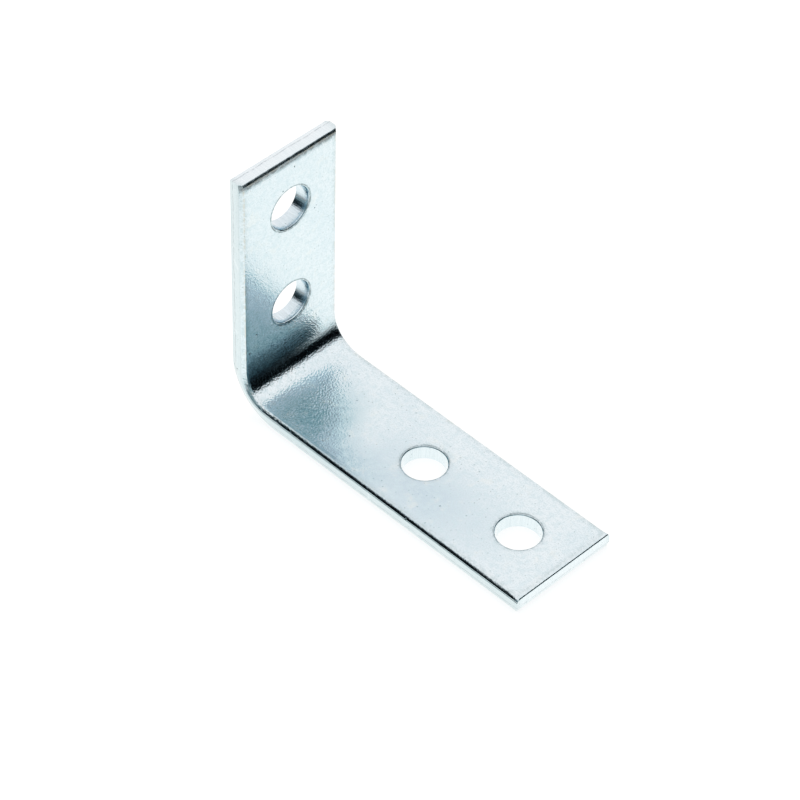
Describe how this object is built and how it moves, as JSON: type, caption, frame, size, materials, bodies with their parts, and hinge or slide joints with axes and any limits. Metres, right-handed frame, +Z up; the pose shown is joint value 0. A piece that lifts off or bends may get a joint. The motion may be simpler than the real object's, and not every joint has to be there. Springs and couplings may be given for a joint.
{
  "type": "angle bracket",
  "caption": "Angle bracket folded from flat steel strip, with a foot, a shorter upright and plain round screw holes on the centre line of both legs.",
  "frame": {"origin": "middle of the foot's underside, half way along the foot's length and on the centre line of the width", "axes": "+X along the foot towards its free end, +Y across the strip's width, +Z up the upright"},
  "size_m": [0.0494, 0.016, 0.0367],
  "materials": {
    "zinc_plate": "bright zinc plate with a faint blue passivation, glossy and slightly mottled near the fold"
  },
  "bodies": {
    "root": {"angle_bracket": "zinc_plate"}
  },
  "joints": []
}
